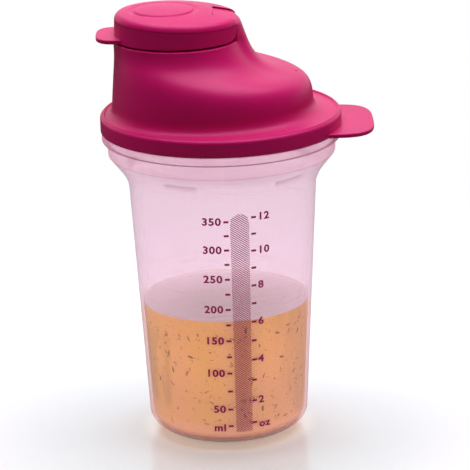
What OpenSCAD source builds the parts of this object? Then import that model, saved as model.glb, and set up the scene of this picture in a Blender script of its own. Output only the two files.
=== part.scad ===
// Dressing shaker: a tapered, translucent bottle, a mixing wheel that rests in its neck, a press-on
// lid whose shoulder sweeps up into an off-centre spout, and a flip cap that plugs the spout.
// The origin is the centre of the bottle's foot, +X points to the lid's pull tab.

/* [Bottle] */
// Outer radius that the tapered wall would have at the ground
body_foot_r = 32.5; // [31:0.5:34]
// Outer radius where the tapered wall turns out into the funnel
body_top_r = 38.5; // [37.4:0.1:39]
// Height where the tapered wall turns out into the funnel
body_top_z = 109.2; // [102:0.2:110]
// Length of the bend between the wall and the funnel
body_bend = 9; // [4:1:11]
// Width of the rounded corner between the foot and the wall
foot_corner_w = 14; // [10:0.5:14]
// Height of that corner
foot_corner_h = 8.5; // [7:0.5:12]
// Radius where the raised middle of the foot begins
foot_ring_r = 17.5; // [14:0.5:18]
// Height of the raised middle of the foot
push_up_h = 4.6; // [2:0.2:6]
// Thickness of the wall
bottle_wall = 1.4; // [1.1:0.1:1.8]
// How far the funnel widens the bottle, from the wall to the neck
funnel_w = 7.9; // [7:0.1:8.6]
// Height of the funnel
funnel_h = 10.2; // [9:0.2:12]
// Thickness of the neck
neck_wall = 1.7; // [1.4:0.1:2]
// Height of the neck, from the funnel to the underside of its collar
neck_h = 5.2; // [4.6:0.2:7]
// How far the collar under the lid stands out of the neck
collar_w = 1.8; // [1.4:0.1:2.2]
// Height of the collar
collar_h = 3.9; // [3:0.1:5]
// Height of the rim that the lid grips, above the collar
rim_h = 5.5; // [5:0.1:6]
// How far the rim stands out of the neck
rim_w = 0.7; // [0.5:0.1:0.9]
// How far the snap bead stands out of the rim
bead = 0.4; // [0.2:0.1:0.5]

/* [Lugs] */
// Number of lugs that carry the mixing wheel
lug_count = 5; // [4:1:6]
// Angle that one lug spans
lug_span = 21; // [14:1:26]
// Direction midway between the two front lugs, from the front towards +X
lug_facing = 9; // [0:1:20]
// Height of the lugs
lug_h = 5; // [4:0.5:6]
// Depth of the shelf on top of a lug
lug_shelf = 3; // [2.4:0.2:3.6]
// Height of the shelf above the turn of the wall
lug_rise = 4.3; // [3.6:0.1:5]

/* [Mixing wheel] */
// Height of the wheel's rim
wheel_h = 4.2; // [3:0.2:5]
// Thickness of the wheel's rings
wheel_ring = 1.4; // [1.2:0.1:2]
// Radius of the wheel's hub
hub_r = 7; // [5:0.5:9]
// Widest gap between the wheel's rings
ring_gap = 3.5; // [2.6:0.1:3.8]
// Number of vanes
vane_count = 12; // [8:1:14]
// Thickness of a vane
vane_t = 1.4; // [1:0.1:1.8]
// Lean of the vanes
vane_lean = 28; // [0:1:35]

/* [Lid] */
// Thickness of the lid's skirt round the rim
skirt_wall = 1.7; // [1.5:0.1:2.4]
// Height of the skirt, from its lower edge to the rolled top edge
skirt_h = 7.2; // [7:0.1:8]
// Radius of the rolled top edge
skirt_round = 1.5; // [1:0.1:2.4]
// Drop of the gutter between the rolled edge and the dome
gutter = 0.6; // [0.4:0.1:0.8]
// Thickness of the dome and the spout
lid_wall = 1.8; // [1.5:0.1:2.2]
// Depth of the sealing ring inside the bottle's mouth
seal_depth = 5; // [3.5:0.5:6]
// Thickness of the sealing ring
seal_t = 1.5; // [1.2:0.1:1.8]

/* [Dome and spout] */
// Width of the flange outside the dome's widest ring
flange_w = 8.3; // [7.5:0.1:9]
// How far the dome's centre lies towards the spout
dome_shift = 3.1; // [2.4:0.1:3.4]
// Height of the dome's widest ring above the skirt's lower edge
dome_rise = 12.6; // [11.5:0.1:13.5]
// Radius of the spout at its deck
spout_r = 27.2; // [26.8:0.1:27.6]
// How far the spout's centre lies from the bottle's axis
spout_shift = 15.3; // [14.8:0.1:15.6]
// Height of the spout's deck above the skirt's lower edge
deck_rise = 37.4; // [36:0.2:39]
// Pull of the sweeping profile above the dome, on the tab side
dome_pull_back = 17.4; // [14:0.2:19]
// Pull of the sweeping profile above the dome, at the spout side
dome_pull_front = 6; // [3:0.5:14]
// Pull of the sweeping profile below the deck, on the tab side
spout_pull_back = 20.9; // [17:0.2:22]
// Pull of the sweeping profile below the deck, at the spout side
spout_pull_front = 12.7; // [8:0.5:16]
// Radius of the vent hole in the shoulder
vent_r = 0.6; // [0.4:0.1:0.8]
// How far the vent hole lies inside the dome's widest ring
vent_in = 6.7; // [5:0.1:8]

/* [Pull tab] */
// Length of the pull tab outside the skirt
pull_len = 13; // [10:0.5:15]
// Half width of the pull tab
pull_half_w = 24; // [20:0.5:25]
// Thickness of the pull tab
pull_t = 1.7; // [1.4:0.1:2]

/* [Pour hole] */
// Radius of the pour hole
pour_r = 11; // [10:0.2:11.6]
// How far the pour hole lies beyond the spout's centre
pour_shift = 7.1; // [6:0.1:7.4]
// Height of the lip round the pour hole, above the deck
pour_lip_h = 5.2; // [4:0.2:5.6]
// Thickness of that lip
pour_lip_t = 1.6; // [1.2:0.1:1.8]

/* [Flip cap] */
// How far the cap's radius is smaller than the spout's
cap_ledge = 1.8; // [1.6:0.1:2.2]
// How far the cap's centre lies beyond the spout's centre
cap_shift = 1.5; // [1.2:0.1:1.7]
// Height of the cap at its middle
cap_h = 11.7; // [11.4:0.1:12.6]
// Radius of the cap's crowned top
crown_r = 130; // [100:5:160]
// Rounding between the cap's top and its skirt
cap_round = 2; // [1.6:0.1:4]
// Slope of the cap's top towards the hinge
cap_slope = 2.5; // [1.5:0.1:3]
// Thickness of the cap
cap_wall = 1.7; // [1.4:0.1:2]
// Gap between the cap's lower edge and the deck
cap_gap = 0.8; // [0.5:0.1:1]
// Radius of the thumb disc on the cap's top
thumb_r = 11.9; // [11:0.1:13]
// Width of the dished ring round the thumb disc
moat_w = 3.1; // [2:0.1:3.6]
// Depth of that ring
moat_d = 0.6; // [0.3:0.1:0.7]
// Thickness of the sealing ring that plugs the pour hole
plug_t = 1.4; // [1.2:0.1:1.8]
// Depth of that ring inside the lip
plug_depth = 3.1; // [2:0.1:3.6]
// Reach of the cap's lift tab beyond its skirt
lift_reach = 7.3; // [5:0.1:8]
// Half width of the lift tab
lift_half_w = 12.5; // [10:0.5:14]
// Thickness of the lift tab
lift_t = 1.8; // [1.4:0.1:2.2]

/* [Hinge] */
// Half width of the hinge block on the lid
block_half_w = 8.1; // [7:0.1:9]
// Thickness of the hinge block's walls
block_wall = 2; // [1.6:0.1:2.4]
// Radius of the hinge block's front, about the hinge axis
block_r = 9.4; // [9:0.1:9.6]
// Radius of the trunnions on the cap's cheeks
trunnion_r = 1.5; // [1.2:0.1:1.8]
// Radius of the cheeks' lower corner about the hinge axis
cheek_r = 2.9; // [2.7:0.1:3]
// Thickness of the cap's cheeks
cheek_t = 1.8; // [1.4:0.1:2.2]
// Angle at which the open cap's back lies along the deck
cap_open = 100; // [90:1:110]

/* [Fits] */
// Running clearance between pieces that move past each other
clearance = 0.3; // [0.2:0.05:0.4]
// Running clearance of a trunnion in its bore
bore_clearance = 0.08; // [0.04:0.01:0.1]

/* [Hidden] */
$fn = 96;
arc_steps = 8;
around = 72;
small_round = 0.5;
eps = 0.01;

// The bottle's neck, from the funnel up
neck_r = body_top_r + funnel_w;
neck_z = body_top_z + funnel_h;
collar_r = neck_r + collar_w;
rim_r = neck_r + rim_w;
collar_z = neck_z + neck_h;
collar_top_z = collar_z + collar_h;
rim_z = collar_top_z + rim_h;
mouth_r = neck_r - neck_wall;
wall_taper = (body_top_r - body_foot_r) / body_top_z;
funnel_slope = (neck_r - body_top_r) / (neck_z - body_top_z);
lug_shelf_z = body_top_z + lug_rise;

// The lid, from the skirt up
skirt_r = rim_r + clearance + skirt_wall;
skirt_z = collar_top_z + clearance;
edge_z = skirt_z + skirt_h;
edge_r = skirt_r - 0.7 * skirt_round;
ceiling_z = rim_z + clearance;
skirt_in_r = rim_r + clearance;
seal_r = mouth_r - clearance;
dome_z = skirt_z + dome_rise;
deck_z = skirt_z + deck_rise;
fillet_r = edge_r - 1;
dome_r = skirt_r - flange_w;
vent_x = dome_r - dome_shift - vent_in;
pull_reach = skirt_r + pull_len;

// Places of the spout, the cap and the hinge
cap_r = spout_r - cap_ledge;
cap_z = deck_z + cap_gap;
cap_x = -spout_shift - cap_shift;
pour_x = -spout_shift - pour_shift;
hinge_z = cap_z + cheek_r;
cheek_in = block_half_w + clearance + 0.1;
hinge_x = cap_x + sqrt(pow(cap_r, 2) - pow(cheek_in, 2)) - cheek_r;
notch_r = block_r + clearance;
plug_r = pour_r - clearance;
lip_top_z = deck_z + pour_lip_h;

// Points of an arc about c, from angle a0 to a1; squash flattens it into part of an ellipse
function arc(c, r, a0, a1, n = arc_steps, squash = 1) =
    [for (i = [0:n]) let (a = a0 + (a1 - a0) * i / n) c + r * [cos(a), squash * sin(a)]];

// Outer radius of the tapered wall and of the funnel above it
function wall_r(z) = body_foot_r + wall_taper * z;
function funnel_r(z) = neck_r - funnel_slope * (neck_z - z);

// A point of a cubic curve
function bezier(p0, p1, p2, p3, t) =
    pow(1 - t, 3) * p0 + 3 * pow(1 - t, 2) * t * p1 + 3 * (1 - t) * t * t * p2 + pow(t, 3) * p3;

// A superellipse outline of half length a and half width b
function rounded_tab(a, b, n = 48, power = 3) =
    [for (i = [0:n - 1]) let (t = 360 * i / n, c = cos(t), s = sin(t))
        [a * sign(c) * pow(abs(c), 2 / power), b * sign(s) * pow(abs(s), 2 / power)]];

// A solid through closed rings of equally many points
module loft(rings) {
    n = len(rings[0]);
    m = len(rings);
    sides = [for (j = [0:m - 2], i = [0:n - 1]) let (k = (i + 1) % n)
        each [[j * n + i, (j + 1) * n + i, (j + 1) * n + k], [j * n + i, (j + 1) * n + k, j * n + k]]];
    polyhedron(
        points = [for (ring = rings) each ring],
        faces = concat([[for (i = [0:n - 1]) i]], sides, [[for (i = [n - 1:-1:0]) (m - 1) * n + i]]));
}

// The bottle's wall in section, from the middle of the foot up the outside and down the inside
module bottle_section() {
    corner = [wall_r(foot_corner_h) - foot_corner_w, foot_corner_h];
    in_w = foot_corner_w - bottle_wall;
    dome_rad = (pow(foot_ring_r, 2) + pow(push_up_h, 2)) / (2 * push_up_h);
    foot_angle = asin(foot_ring_r / dome_rad);
    bend = body_bend / 2;
    floor_angle = asin((foot_ring_r - bottle_wall) / (dome_rad + bottle_wall));
    outside = concat(
        arc([0, push_up_h - dome_rad], dome_rad, 90, 90 - foot_angle),
        arc(corner, foot_corner_w, -90, -3, squash = foot_corner_h / foot_corner_w),
        [for (i = [0:6]) bezier(
            [wall_r(body_top_z - bend), body_top_z - bend],
            [wall_r(body_top_z - bend / 3), body_top_z - bend / 3],
            [funnel_r(body_top_z + bend / 3), body_top_z + bend / 3],
            [funnel_r(body_top_z + bend), body_top_z + bend], i / 6)],
        arc([neck_r - 1, neck_z], 1, -35, 0, 3),
        [[neck_r, collar_z - small_round], [neck_r + small_round, collar_z]],
        arc([collar_r - small_round, collar_z + small_round], small_round, -90, 0, 4),
        arc([collar_r - small_round, collar_top_z - small_round], small_round, 0, 90, 4),
        [[rim_r, collar_top_z]],
        [[rim_r, rim_z - 0.62 * rim_h], [rim_r + bead, rim_z - 0.48 * rim_h], [rim_r, rim_z - 0.3 * rim_h]],
        arc([rim_r - 0.8, rim_z - 0.8], 0.8, 0, 90, 4));
    inside = concat(
        [[mouth_r + 0.6, rim_z], [mouth_r, rim_z - 0.6], [mouth_r, neck_z]],
        [for (i = [0:6]) let (b = bend, w = bottle_wall) bezier(
            [funnel_r(body_top_z + b) - 1.25 * w, body_top_z + b],
            [funnel_r(body_top_z + b / 3) - 1.1 * w, body_top_z + b / 3],
            [wall_r(body_top_z - b / 3) - w, body_top_z - b / 3],
            [wall_r(body_top_z - b) - w, body_top_z - b], i / 6)],
        arc(corner, in_w, -3, -90, squash = (foot_corner_h - bottle_wall) / in_w),
        arc([0, push_up_h - dome_rad], dome_rad + bottle_wall, 90 - floor_angle, 90));
    polygon(concat(outside, inside));
}

// One lug: a flat shelf carried by a slanted foot, grown out of the funnel
module lug() {
    top_r = funnel_r(lug_shelf_z) - bottle_wall / 2;
    low_r = funnel_r(lug_shelf_z - lug_h) - bottle_wall / 2;
    tip_r = funnel_r(lug_shelf_z) - 1.25 * bottle_wall - lug_shelf;
    rotate([0, 0, -lug_span / 2])
        rotate_extrude(angle = lug_span)
            polygon([[tip_r, lug_shelf_z], [top_r, lug_shelf_z], [low_r, lug_shelf_z - lug_h],
                [tip_r, lug_shelf_z - 0.35 * lug_h]]);
}

module bottle() {
    color([0.93, 0.82, 0.9, 0.6]) union() {
        rotate_extrude() bottle_section();
        for (i = [0:lug_count - 1])
            rotate([0, 0, lug_facing - 90 + (i + 0.5) * 360 / lug_count]) lug();
    }
}

// The wheel lies on the lugs: a rim, two inner rings, a hub and leaning vanes that break up the oil
module mixing_wheel() {
    low = lug_shelf_z + clearance;
    rim_out = funnel_r(low) - 1.25 * bottle_wall - 2 * clearance;
    span = rim_out - wheel_ring - hub_r;
    rings = ceil((span - ring_gap) / (ring_gap + wheel_ring));
    pitch = (span + wheel_ring) / (rings + 1);
    vane_h = 0.7 * wheel_h;
    color([0.93, 0.82, 0.9, 0.6]) translate([0, 0, low]) union() {
        rotate_extrude() polygon([
            [rim_out - wheel_ring, 0], [rim_out - small_round, 0], [rim_out, small_round],
            [rim_out + 0.4, wheel_h - small_round], [rim_out, wheel_h], [rim_out - wheel_ring, wheel_h]]);
        for (i = [1:rings])
            rotate_extrude() translate([hub_r + i * pitch - wheel_ring, 0]) square([wheel_ring, vane_h]);
        rotate_extrude() polygon(concat([[0, 0], [hub_r, 0]],
            arc([hub_r - 1.5, wheel_h - 1.5], 1.5, 0, 90, 4), [[0, wheel_h]]));
        intersection() {
            for (i = [0:vane_count - 1])
                rotate([0, 0, i * 360 / vane_count])
                    translate([rim_out / 2, 0, vane_h / 2])
                        rotate([vane_lean, 0, 0])
                            cube([rim_out, vane_t, 1.3 * vane_h], center = true);
            cylinder(r = rim_out - wheel_ring / 2, h = vane_h);
        }
    }
}

// The outline of the dome and spout at one height of the sweep, u from 0 at the dome to 1 at the deck.
// inset moves it inwards for the inner surface.
function sweep_ring(u, inset) = [for (i = [0:around - 1])
    let (
        a = 360 * i / around,
        back = (1 + cos(a)) / 2,
        lean = 0.19 + 0.14 * cos(a),
        pull_up = dome_pull_front + (dome_pull_back - dome_pull_front) * back,
        pull_down = spout_pull_front + (spout_pull_back - spout_pull_front) * back,
        way = [cos(a), sin(a), 0],
        sink = [0, 0, -0.7 * inset],
        low = [-dome_shift, 0, dome_z] + (dome_r - inset) * way,
        high = [-spout_shift, 0, deck_z - small_round] + (spout_r - inset) * way)
    sink + bezier(low, low - 0.4 * way + [0, 0, pull_up], high + pull_down * lean * way - [0, 0, pull_down],
        high, u)];

// The fillet that carries the dome out to the flange, v from 0 at the flange to 1 at the dome
function fillet_ring(v, flange_r, flange_z, inset) = [for (i = [0:around - 1])
    let (
        a = 360 * i / around,
        way = [cos(a), sin(a), 0],
        rise = dome_z - flange_z,
        start = [0, 0, flange_z] + flange_r * way,
        end = [-dome_shift, 0, dome_z - 0.7 * inset] + (dome_r - inset) * way)
    bezier(start, start + 0.75 * [end[0] - start[0], end[1] - start[1], 0.15 * rise],
        end - [0, 0, 0.7 * rise], end, v)];

// A ring at the deck, for closing the sweep
function deck_ring(z, inset) = [for (i = [0:around - 1])
    let (a = 360 * i / around, r = spout_r - inset)
    [-spout_shift + r * cos(a), r * sin(a), z]];

function flange_ring(r, z) = [for (i = [0:around - 1]) let (a = 360 * i / around) [r * cos(a), r * sin(a), z]];

module dome_outside() {
    low_z = edge_z - 1.2;
    loft(concat(
        [flange_ring(fillet_r, low_z)],
        [for (v = [0:5]) fillet_ring(v / 6, fillet_r, edge_z - gutter, 0)],
        [for (u = [0:16]) sweep_ring(u / 16, 0)],
        [deck_ring(deck_z, small_round)]));
}

module dome_inside() {
    void_r = seal_r - seal_t - small_round;
    loft(concat(
        [flange_ring(void_r, edge_z - 3)],
        [for (v = [0:3]) fillet_ring(v / 4, void_r, edge_z - 1, lid_wall)],
        [for (u = [0:13]) sweep_ring(u / 13, lid_wall)],
        [deck_ring(deck_z - lid_wall, lid_wall + small_round)]));
}

// The skirt that snaps over the rim, the flange, and the ring that seals the bottle's mouth
module lid_skirt() {
    seal_in = seal_r - seal_t;
    low_z = edge_z - gutter - 0.3;
    bead_z = rim_z - 0.48 * rim_h;
    rotate_extrude() polygon(concat(
        [[skirt_in_r, skirt_z], [skirt_r - small_round, skirt_z], [skirt_r, skirt_z + small_round]],
        arc([skirt_r - skirt_round, edge_z - 1.2 * skirt_round], skirt_round, 0, 65, 6),
        [[edge_r, edge_z], [fillet_r - 1, low_z], [seal_in, low_z], [seal_in, ceiling_z - seal_depth],
            [seal_r - small_round, ceiling_z - seal_depth], [seal_r, ceiling_z - seal_depth + 1],
            [seal_r, ceiling_z], [skirt_in_r, ceiling_z],
            [skirt_in_r, bead_z + 1.2], [skirt_in_r + bead, bead_z + 0.2],
            [skirt_in_r + bead, bead_z - 0.4], [skirt_in_r, bead_z - 1.2]]));
}

module pull_tab() {
    length = pull_reach - edge_r + 4;
    difference() {
        translate([pull_reach - length, 0, skirt_z])
            linear_extrude(pull_t) polygon(rounded_tab(length, pull_half_w, power = 3.4));
        translate([0, 0, skirt_z - 1]) cylinder(r = skirt_r - 0.6, h = pull_t + 2);
    }
}

// The hinge block in plan and section: the back of the spout carried up behind the cap
module hinge_block() {
    top_z = cap_z + cap_h;
    intersection() {
        translate([-spout_shift, 0, 0]) rotate_extrude() polygon(concat(
            [[0, deck_z - 1], [spout_r - 0.3, deck_z - 1], [spout_r - 2.4, deck_z + 5]],
            arc([spout_r - cap_round - 3.4, top_z - 5.3], cap_round, 0, 75, 6),
            [[0, top_z]]));
        translate([cap_x, 0, cap_z]) rotate([0, cap_slope, 0]) translate([0, 0, cap_h - 0.6 - crown_r])
            rotate_extrude() polygon(concat([[0, 0]], arc([0, 0], crown_r, 72, 90, 10)));
        translate([hinge_x, 0, hinge_z]) rotate([90, 0, 0])
            cylinder(r = block_r, h = 2 * block_half_w, center = true);
    }
}

// The room inside the hinge block, open to the front under the cap
module hinge_block_room() {
    room_w = block_half_w - block_wall;
    back_x = cap_x + cap_r - block_wall;
    front_x = hinge_x - block_r - 1;
    top_z = cap_z + cap_h - 5.2;
    translate([front_x, -room_w, deck_z]) cube([back_x - front_x, 2 * room_w, top_z - deck_z]);
}

module lid() {
    color([0.78, 0.1, 0.38]) difference() {
        union() {
            lid_skirt();
            difference() {
                dome_outside();
                dome_inside();
            }
            pull_tab();
            translate([pour_x, 0, 0]) rotate_extrude() polygon(concat(
                [[pour_r, deck_z - lid_wall / 2], [pour_r + pour_lip_t, deck_z - lid_wall / 2]],
                arc([pour_r + pour_lip_t / 2, lip_top_z - pour_lip_t / 2], pour_lip_t / 2, 0, 180, 8)));
            difference() {
                hinge_block();
                hinge_block_room();
            }
        }
        translate([pour_x, 0, deck_z - 2 * lid_wall]) cylinder(r = pour_r, h = 2 * lid_wall + pour_lip_h / 2);
        translate([hinge_x, 0, hinge_z]) rotate([90, 0, 0])
            cylinder(r = trunnion_r + bore_clearance, h = 4 * block_half_w, center = true);
        translate([vent_x, 0, dome_z]) cylinder(r = vent_r, h = deck_z - dome_z);
    }
}

// The cap's shell in section, upright, before it is sloped; inset gives the inner surface
module cap_section(inset) {
    r = cap_r - inset;
    round_r = max(cap_round - inset, 1);
    top_r = crown_r - inset;
    middle = cap_h - crown_r;
    centre_r = r - round_r;
    centre_z = middle + sqrt(pow(top_r - round_r, 2) - pow(centre_r, 2));
    start = atan2(centre_z - middle, centre_r);
    polygon(concat(
        [[0, -4], [r, -4]],
        arc([centre_r, centre_z], round_r, 0, start, 10),
        arc([0, middle], top_r, start, 90, 10)));
}

module cap_solid(inset) {
    translate([cap_x, 0, cap_z]) rotate([0, cap_slope, 0]) rotate_extrude() cap_section(inset);
}

// The dished ring round the thumb disc, cut square to the crowned top
module thumb_moat() {
    tip = asin((pour_shift - cap_shift) / crown_r);
    ring = [[0, 0], [0.3, moat_d], [0.9, moat_d], [moat_w, 0]];
    translate([cap_x, 0, cap_z]) rotate([0, cap_slope, 0])
        translate([0, 0, cap_h - crown_r]) rotate([0, -tip, 0])
            rotate_extrude() polygon(concat([[thumb_r, crown_r + 1]],
                [for (p = ring) let (r = thumb_r + p[0]) [r, sqrt(crown_r * crown_r - r * r) - p[1]]],
                [[thumb_r + moat_w, crown_r + 1]]));
}

module lift_tab() {
    length = 9.5;
    tip_x = cap_x - cap_r - lift_reach;
    translate([tip_x + length, 0, cap_z])
        linear_extrude(lift_t) polygon(rounded_tab(length, lift_half_w));
}

// Cheeks either side of the hinge block, with the wall between them that turns about the hinge
module cheeks() {
    front_x = hinge_x - notch_r - cheek_t;
    for (side = [-1, 1])
        translate([front_x, side * (cheek_in + cheek_t / 2) - cheek_t / 2, cap_z])
            cube([cap_r, cheek_t, cap_h]);
    difference() {
        translate([hinge_x, 0, hinge_z]) rotate([90, 0, 0])
            cylinder(r = notch_r + cheek_t, h = 2 * cheek_in + cheek_t, center = true);
        translate([hinge_x - cap_r, -cap_r, cap_z - cap_r]) cube([2 * cap_r, 2 * cap_r, cap_r + 1.5]);
    }
}

// What the deck and its clearance take up of the cap when it is fully open, seen from the closed cap
module stop_face() {
    translate([hinge_x, 0, hinge_z]) rotate([0, -cap_open, 0])
        translate([-cap_r, -cap_r, deck_z + clearance - hinge_z - cap_r]) cube([2 * cap_r, 2 * cap_r, cap_r]);
}

module spout_cap() {
    color([0.82, 0.14, 0.44]) union() {
        difference() {
            union() {
                difference() {
                    cap_solid(0);
                    cap_solid(cap_wall);
                }
                intersection() {
                    cap_solid(cap_wall / 2);
                    cheeks();
                }
                difference() {
                    lift_tab();
                    cap_solid(cap_wall / 2);
                }
            }
            translate([-3 * cap_r, -2 * cap_r, cap_z - 20]) cube([4 * cap_r, 4 * cap_r, 20]);
            thumb_moat();
            translate([hinge_x, 0, hinge_z]) rotate([90, 0, 0])
                cylinder(r = notch_r, h = 2 * cheek_in, center = true);
            difference() {
                translate([hinge_x, -cap_r, cap_z - 1]) cube([cap_r, 2 * cap_r, cheek_r + 1]);
                translate([hinge_x, 0, hinge_z]) rotate([90, 0, 0])
                    cylinder(r = cheek_r, h = 3 * cap_r, center = true);
            }
            stop_face();
        }
        translate([pour_x, 0, 0]) rotate_extrude() polygon([
            [plug_r - plug_t, lip_top_z - plug_depth], [plug_r - small_round, lip_top_z - plug_depth],
            [plug_r, lip_top_z - plug_depth + 1], [plug_r, cap_z + cap_h - 1.4],
            [plug_r - plug_t, cap_z + cap_h - 1.4]]);
        for (side = [-1, 1])
            translate([hinge_x, side * (cheek_in + cheek_t / 2), hinge_z]) rotate([side * 90, 0, 0])
                cylinder(r = trunnion_r, h = cheek_t / 2 + 2.5);
    }
}

bottle();
mixing_wheel();
lid();
spout_cap();
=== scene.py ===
import math
import random

import bpy
import numpy as np
from bpy.props import FloatProperty, FloatVectorProperty, IntProperty, PointerProperty
from mathutils import Matrix, Vector


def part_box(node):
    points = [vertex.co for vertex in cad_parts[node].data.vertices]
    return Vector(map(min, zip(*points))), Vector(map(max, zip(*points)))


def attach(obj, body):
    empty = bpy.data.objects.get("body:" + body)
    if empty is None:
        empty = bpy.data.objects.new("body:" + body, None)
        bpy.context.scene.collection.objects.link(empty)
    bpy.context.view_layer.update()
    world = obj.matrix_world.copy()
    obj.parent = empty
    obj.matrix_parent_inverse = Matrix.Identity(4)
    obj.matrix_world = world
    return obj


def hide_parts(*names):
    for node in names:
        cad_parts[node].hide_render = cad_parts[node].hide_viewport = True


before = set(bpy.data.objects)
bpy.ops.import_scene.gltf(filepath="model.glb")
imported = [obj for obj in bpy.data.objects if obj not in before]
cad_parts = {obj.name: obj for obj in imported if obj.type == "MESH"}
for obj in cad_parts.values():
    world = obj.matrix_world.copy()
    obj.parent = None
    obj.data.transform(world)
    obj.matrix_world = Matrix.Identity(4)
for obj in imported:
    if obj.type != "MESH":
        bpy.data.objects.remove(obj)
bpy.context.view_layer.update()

bl_info = {
    "name": "Dressing Shaker",
    "version": (1, 0, 0),
    "blender": (4, 5, 0),
    "location": "View3D > Sidebar > Shaker",
    "description": "Moulded plastic, printed scales, dressing and a studio for the packed shaker",
    "category": "Object",
}

MM = 0.001

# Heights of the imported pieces, in millimetres
MOUTH_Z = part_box("bottle")[1].z / MM
LID_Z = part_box("lid")[0].z / MM
WHEEL_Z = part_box("mixing_wheel")[0].z / MM
CAP_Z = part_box("spout_cap")[0].z / MM

# The bottle's wall, from the foot up to the rim
FOOT_R = 32.5
TURN_R = 38.5
TURN_Z = 109.2
TURN_BEND = 9
FOOT_CORNER = (14, 8.5)
FOOT_RING_R = 17.5
PUSH_UP = 4.6
WALL = 1.4
NECK_R = 46.4
NECK_Z = 119.2
NECK_WALL = 1.7
FUNNEL_SLOPE = (NECK_R - TURN_R) / (NECK_Z - TURN_Z)
COLLAR_R = 48.7
COLLAR_Z = 125.1
COLLAR_TOP = 128.5
RIM_R = 47.1
BEAD = 0.4
LUGS = 5
LUG_SPAN = 21
LUG_FACING = 9
LUG_SHELF_Z = 113.5
LUG_H = 5
LUG_SHELF = 3

# The lid, from the skirt up to the deck of the spout
SKIRT_R = 49.1
SKIRT_H = 7.2
SKIRT_ROUND = 1.5
GUTTER = 0.6
LID_WALL = 1.8
SEAL_T = 1.5
SEAL_DEPTH = 5
CLEARANCE = 0.3
EDGE_Z = LID_Z + SKIRT_H
EDGE_R = SKIRT_R - 0.7 * SKIRT_ROUND
FILLET_R = EDGE_R - 1
DOME_R = 40.8
DOME_X = -3.1
DOME_Z = LID_Z + 12.6
SPOUT_R = 27.2
SPOUT_X = -15.3
DECK_Z = LID_Z + 37.4
EDGE_ROUND = 0.5
PULL_UP = (18, 17.4)
PULL_DOWN = (8, 20.9)
DRAW_BACK = 0.4
DRAW_SIDE = 3.7
RIDGE_SPAN = 15
VENT_X = 31
VENT_R = 0.6

# The pull tab
PULL_REACH = 62.1
PULL_HALF_W = 24
PULL_T = 1.7

# The pour hole in the deck
POUR_X = -22.4
POUR_R = 11
LIP_T = 1.6
LIP_Z = DECK_Z + 5.2

# The flip cap
CAP_X = -16.8
CAP_R = 25.4
CAP_H = 11.7
CROWN_R = 130
CAP_ROUND = 3
CAP_SLOPE = 2.5
CAP_WALL = 1.7
THUMB_R = 11.9
MOAT_W = 3.1
MOAT_D = 0.6
PLUG_T = 1.4
PLUG_R = POUR_R - CLEARANCE
PLUG_Z = LIP_Z - 3.1
LIFT_TIP = CAP_X - CAP_R - 7.3
LIFT_HALF_W = 12.5
LIFT_T = 1.8

# The hinge
BLOCK_HALF_W = 8.1
BLOCK_WALL = 2
BLOCK_R = 9.4
BLOCK_SINK = 0.7
CHEEK_R = 2.9
CAP_OPEN = math.radians(100)
CHEEK_T = 1.8
CHEEK_IN = BLOCK_HALF_W + CLEARANCE + 0.1
NOTCH_R = BLOCK_R + CLEARANCE
TRUNNION_R = 1.5
BORE_R = 1.58
HINGE_X = CAP_X + math.sqrt(CAP_R ** 2 - CHEEK_IN ** 2) - CHEEK_R
HINGE_Z = CAP_Z + CHEEK_R

# The printed scales: heights of the marks on the wall, as azimuths from the front towards +X
SCALE_FACING = 10.1
STRIP_LEAN = -0.0137
ML_FACING = 1.2
OZ_FACING = 18.2

# How many columns a turned piece has
AROUND = 192


class ShakerSizes(bpy.types.PropertyGroup):
    """Sizes that change how the shaker is dressed."""

    fill_height: FloatProperty(
        name="Fill height", description="Height of the dressing's surface above the ground",
        default=55.6 * MM, min=0.02, max=0.1, subtype="DISTANCE")
    herbs: IntProperty(
        name="Herbs", description="How many flecks of herb lie against the wall",
        default=520, min=0, max=4000)


class ShakerColours(bpy.types.PropertyGroup):
    """Colours of the shaker's materials, in linear light."""

    lid: FloatVectorProperty(
        name="Lid", description="Colour of the lid and the cap",
        default=(0.55, 0.002, 0.112), size=3, min=0, max=1, subtype="COLOR")
    bottle: FloatVectorProperty(
        name="Bottle", description="Tint of the bottle's wall",
        default=(0.76, 0.46, 0.53), size=3, min=0, max=1, subtype="COLOR")
    dressing: FloatVectorProperty(
        name="Dressing", description="Colour of the dressing",
        default=(0.93, 0.56, 0.12), size=3, min=0, max=1, subtype="COLOR")
    ink: FloatVectorProperty(
        name="Ink", description="Colour of the printed scales",
        default=(0.19, 0.004, 0.055), size=3, min=0, max=1, subtype="COLOR")


class Value:
    """A shader socket that holds a number. Python's operators on it add Math nodes."""

    def __init__(self, shader, socket):
        self.shader = shader
        self.socket = socket

    def _math(self, operation, first, second):
        return self.shader.node("ShaderNodeMath", {"operation": operation}, {0: first, 1: second})

    def __add__(self, other):
        return self._math("ADD", self, other)

    def __radd__(self, other):
        return self._math("ADD", other, self)

    def __sub__(self, other):
        return self._math("SUBTRACT", self, other)

    def __rsub__(self, other):
        return self._math("SUBTRACT", other, self)

    def __mul__(self, other):
        return self._math("MULTIPLY", self, other)

    def __rmul__(self, other):
        return self._math("MULTIPLY", other, self)

    def __truediv__(self, other):
        return self._math("DIVIDE", self, other)

    def __pow__(self, other):
        return self._math("POWER", self, other)


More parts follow.
